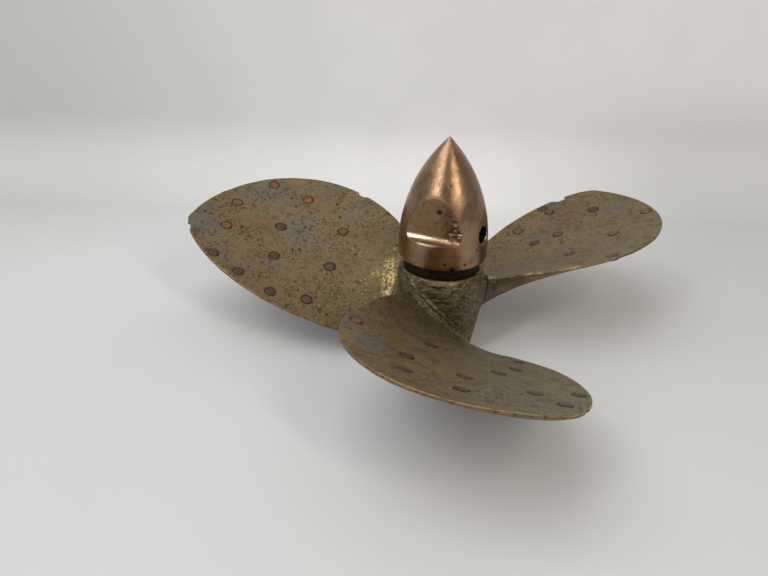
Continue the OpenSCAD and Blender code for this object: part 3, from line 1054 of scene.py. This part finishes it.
def wear_dirt_and_shade(m, colour, mottle, hub_only):
    """Soot in pits and round plugs, bright worn edges, green dirt along the root laps, and painted shade with
    dirt in every crease.
    """
    worn_tone = (0.78, 0.60, 0.32)
    colour = m.mix(m.range(m.attribute("pitting"), 0.1, 0.7, 0, 0.85), colour, SOOT)
    round_plug = m.range(m.attribute("plug_distance"), 4.1, 3.3)
    rim = m.math("MULTIPLY", round_plug, m.range(mottle, 0.4, 0.6, 0.35, 0.85))
    colour = m.mix(rim, colour, SOOT)
    worn = m.math("MULTIPLY", m.edges(0.8), m.range(m.noise(5, 4, seed=19.0), 0.40, 0.52, 0.25, 1))
    worn = m.math("MULTIPLY", worn, m.range(hub_only, 0, 1, 1, 0.25))
    worn = m.math("MULTIPLY", worn, m.range(m.attribute("plug_distance"), 3.8, 4.8))
    colour = m.mix(worn, colour, worn_tone)
    colour = m.mix(m.range(m.attribute("crease"), 0.15, 0.6, 0, 0.92), colour, GREEN_DIRT_AND_SHADE)
    # painted shade, with some dirt, wherever the casting is hemmed in, from ambient occlusion
    return m.mix(m.range(m.crease_dirt_and_shade(6), 0.22, 0.62, 0, 0.92), colour, GREEN_DIRT_AND_SHADE)


def casting_material():
    m = Nodes("patinated_bronze")
    mottle = m.noise(9, 6, 0.65, seed=3.0)
    hub_only = m.range(m.attribute("above_hub"), 9.5, 6)
    colour, speck, grain = specks_and_grain(m, casting_patina(m, mottle))
    colour, scratched = filed_hub(m, bright_patches(m, colour), hub_only)
    colour = wear_dirt_and_shade(m, colour, mottle, hub_only)
    roughness = m.range(mottle, 0.3, 0.7, 0.38, 0.56)
    height = m.math("ADD", m.noise(1.1, 6, 0.75, seed=2.0), m.math("MULTIPLY", m.cells(1.7), 0.5))
    normal = m.bump(height, 0.5, 0.28)
    normal = m.bump(m.math("SUBTRACT", grain, speck), 0.35, 0.12, before=normal)
    normal = m.bump(scratched, 0.7, 0.5, before=normal)
    return m.finish(colour, 0.80, roughness, normal)


def nut_material():
    m = Nodes("turned_bronze")
    broad = m.noise(14, 4, 0.55)
    turning = m.noise(1.2, 3, 0.6, stretch=(0.08, 0.08, 1.6))
    umber = (0.225, 0.135, 0.076)
    tan = (0.345, 0.225, 0.135)
    soot = (0.025, 0.018, 0.012)
    colour = m.mix(m.range(broad, 0.35, 0.65), umber, tan)
    colour = m.mix(m.range(m.noise(1.0, 5, 0.75, seed=4.0), 0.52, 0.72, 0, 0.6), colour, (0.07, 0.045, 0.027))
    flat = m.attribute("flat")
    milled = m.mix(m.attribute("right_side"), (0.270, 0.170, 0.092), (0.150, 0.090, 0.050))
    milled = m.mix(m.range(m.noise(3.5, 5, 0.7, seed=15.0), 0.45, 0.7, 0, 0.6), milled, (0.085, 0.052, 0.030))
    colour = m.mix(flat, colour, milled)
    colour = m.mix(m.math("MULTIPLY", m.attribute("ledge"), 0.8), colour, (0.115, 0.070, 0.040))
    colour = m.mix(m.range(m.attribute("pitting"), 0.1, 0.6, 0, 0.9), colour, soot)
    colour = m.mix(m.math("MULTIPLY", m.edges(0.35), 0.45), colour, (0.80, 0.60, 0.40))
    # near-white on the fillet is a painted highlight, brightest to the left; on the ledge's outer rim it is
    # worn bare bronze
    fillet_highlight_and_worn_rim = m.math("MAXIMUM", m.attribute("fillet"), m.attribute("ledge_rim"))
    colour = m.mix(fillet_highlight_and_worn_rim, colour, (0.90, 0.76, 0.62))
    # painted shade, with some dirt, in the nut's creases and recesses, from ambient occlusion
    colour = m.mix(m.range(m.crease_dirt_and_shade(4), 0.35, 0.8, 0, 0.9), colour, (0.02, 0.03, 0.022))
    green_part = m.range(m.noise(2.2, 4, 0.6, seed=25.0), 0.42, 0.58)
    verdigris = m.mix(green_part, (0.012, 0.011, 0.009), (0.022, 0.060, 0.048))
    colour = m.mix(m.attribute("bar_hole"), colour, verdigris)
    plain = m.range(m.noise(6, 4, 0.6, seed=6.0), 0.3, 0.7, 0.19, 0.30)
    dull = m.math("MAXIMUM", flat, m.math("MAXIMUM", m.attribute("ledge"), m.attribute("bar_hole")))
    roughness = m.math("ADD", plain, m.math("MULTIPLY", dull, 0.22))
    normal = m.bump(turning, 0.15, 0.1)
    normal = m.bump(m.noise(1.1, 5, 0.75, seed=9.0), 0.55, 0.2, before=normal)
    return m.finish(colour, 1.0, roughness, normal)


def washer_material():
    m = Nodes("dark_bronze_in_shade")
    # near-black: dark oiled bronze, darkened further with painted shade from the nut's overhang
    colour = m.mix(m.range(m.noise(4, 5, 0.65), 0.35, 0.7), (0.007, 0.005, 0.003), (0.028, 0.018, 0.010))
    roughness = m.range(m.noise(2, 3), 0.3, 0.7, 0.5, 0.7)
    return m.finish(colour, 0.8, roughness, m.bump(m.noise(0.9, 5, 0.7), 0.3, 0.15))


def steel_material(name, tone):
    m = Nodes(name)
    stain = m.range(m.noise(7, 5, 0.6), 0.4, 0.7)
    colour = m.mix(stain, (tone, tone, tone * 0.98), (tone * 0.62, tone * 0.56, tone * 0.47))
    turning = m.noise(0.8, 3, 0.6, stretch=(0.1, 0.1, 2.0))
    roughness = m.range(m.noise(3, 4, seed=2.0), 0.3, 0.7, 0.28, 0.45)
    return m.finish(colour, 1.0, roughness, m.bump(turning, 0.15, 0.08))


def copper_material():
    m = Nodes("old_copper")
    blotch = m.noise(2.4, 5, 0.7)
    dark = m.mix(m.range(blotch, 0.35, 0.7), (0.072, 0.046, 0.028), (0.108, 0.074, 0.045))
    red = m.mix(m.range(blotch, 0.36, 0.58), (0.33, 0.125, 0.062), (0.150, 0.078, 0.040))
    colour = m.mix(m.range(m.attribute("redness"), 0.1, 0.95), dark, red)
    colour = m.mix(m.range(m.noise(0.9, 4, 0.7, seed=7.0), 0.55, 0.75, 0, 0.7), colour, (0.03, 0.02, 0.014))
    wander = m.range(m.noise(2.0, 3, seed=12.0), 0.3, 0.7, -0.14, 0.14)
    uneven_edge = m.math("ADD", m.attribute("from_middle"), wander)
    colour = m.mix(m.range(uneven_edge, 0.68, 0.92, 0, 0.85), colour, (0.028, 0.019, 0.012))
    roughness = m.range(m.noise(1.5, 4), 0.3, 0.7, 0.42, 0.62)
    return m.finish(colour, 0.75, roughness, m.bump(m.noise(0.9, 5, 0.7), 0.5, 0.2))


def paint(objects, material):
    for obj in objects:
        obj.data.materials.clear()
        obj.data.materials.append(material)


# ---- stage, light and camera --------------------------------------------------------------------


def stage():
    """Pale table that sweeps up into a pale wall behind it, which can't be seen from its back. Painted shade
    darkens the left of the wall and table, and the table's right side.
    """
    wall_y, radius, wide, tall, front = 260.0, 60.0, 1600.0, 1500.0, -1800.0
    turn = np.linspace(0, math.pi / 2, 13)
    sweep = [(wall_y - radius + radius * math.sin(a), radius - radius * math.cos(a)) for a in turn]
    line = np.array([(front, 0)] + sweep + [(wall_y, tall)])
    points = np.array([[x, y, z] for y, z in line for x in (-wide, wide)])
    points[:, 2] -= 0.05        # just below the hub's foot, so that the two faces don't flicker
    obj = make_object("table_and_wall", make_mesh("table_and_wall", points, grid_faces(len(line), 2, False)))
    obj.data.shade_smooth()
    m = Nodes("pale_table")
    split = m.add("ShaderNodeSeparateXYZ")
    m.put(split.inputs[0], m.place)
    # painted shade on the left, strongest on the wall
    left = m.math("MULTIPLY", m.range(split.outputs["X"], 0.0, -0.36),
                  m.range(split.outputs["Y"], 0.0, 0.24, 0.5, 1))
    colour = m.mix(m.range(m.noise(60, 3), 0.3, 0.7), (0.71, 0.72, 0.735), (0.68, 0.69, 0.705))
    colour = m.mix(left, colour, (0.50, 0.51, 0.51))
    # painted shade on the table's right side, where shadows fall
    right = m.math("MULTIPLY", m.range(split.outputs["X"], 0.02, 0.24),
                   m.range(split.outputs["Z"], 0.12, 0.0))
    colour = m.mix(right, colour, (0.50, 0.51, 0.515))
    near = m.range(split.outputs["Y"], 0.12, -0.05)
    colour = m.mix(m.math("MULTIPLY", near, 0.75), colour, (0.53, 0.545, 0.56))
    m.finish(colour, 0.0, 0.6)
    clear = m.add("ShaderNodeBsdfTransparent")
    blend = m.add("ShaderNodeMixShader")
    m.put(blend.inputs[0], m.add("ShaderNodeNewGeometry").outputs["Backfacing"])
    m.put(blend.inputs[1], m.shader.outputs[0])
    m.put(blend.inputs[2], clear.outputs[0])
    m.put(m.tree.nodes["Material Output"].inputs["Surface"], blend.outputs[0])
    paint([obj], m.material)


def area_light(name, place, aim, size, power, colour=(1, 1, 1)):
    light = bpy.data.lights.new(name, "AREA")
    light.shape = "RECTANGLE"
    light.size, light.size_y = size
    light.energy = power
    light.color = colour
    obj = bpy.data.objects.new(name, light)
    bpy.context.scene.collection.objects.link(obj)
    obj.location = place
    obj.rotation_euler = (Vector(aim) - Vector(place)).to_track_quat("-Z", "Y").to_euler()


def lights():
    world = bpy.data.worlds.new("studio")
    bpy.context.scene.world = world
    world.use_nodes = True
    background = world.node_tree.nodes["Background"]
    background.inputs["Color"].default_value = (1, 1, 0.99, 1)
    background.inputs["Strength"].default_value = 0.44
    area_light("overhead", (-0.55, -0.05, 1.3), (0, 0, 0), (1.3, 1.3), 10.5)
    area_light("front_left", (-0.70, -0.80, 0.85), (0, 0, 0.09), (0.20, 0.8), 4.5, (1, 0.97, 0.98))
    area_light("front_right", (0.60, -0.84, 0.85), (0, 0, 0.09), (0.13, 0.8), 5.2, (1, 0.86, 0.66))


def camera():
    cam = bpy.data.cameras.new("camera")
    cam.sensor_width = 36
    cam.lens = 35.67
    obj = bpy.data.objects.new("camera", cam)
    bpy.context.scene.collection.objects.link(obj)
    obj.location = (-0.0309, -0.3775, 0.2247)
    down, roll = math.radians(26.85), math.radians(1.8)
    turn = Matrix.Rotation(math.pi / 2 - down, 3, "X") @ Matrix.Rotation(roll, 3, "Z")
    obj.rotation_euler = turn.to_euler()
    cam.clip_start = 0.01
    bpy.context.scene.camera = obj


# ---- build --------------------------------------------------------------------------------------

paint([casting()], casting_material())
paint([nut()], nut_material())
paint([washer()], washer_material())
paint([shaft_tail()], steel_material("turned_steel", 0.52))
paint([key()], steel_material("key_steel", 0.42))
paint([plug_group(node, plugs) for node, plugs in PLUGS.items()], copper_material())
stage()
lights()
camera()
bpy.context.scene.view_settings.view_transform = "Standard"
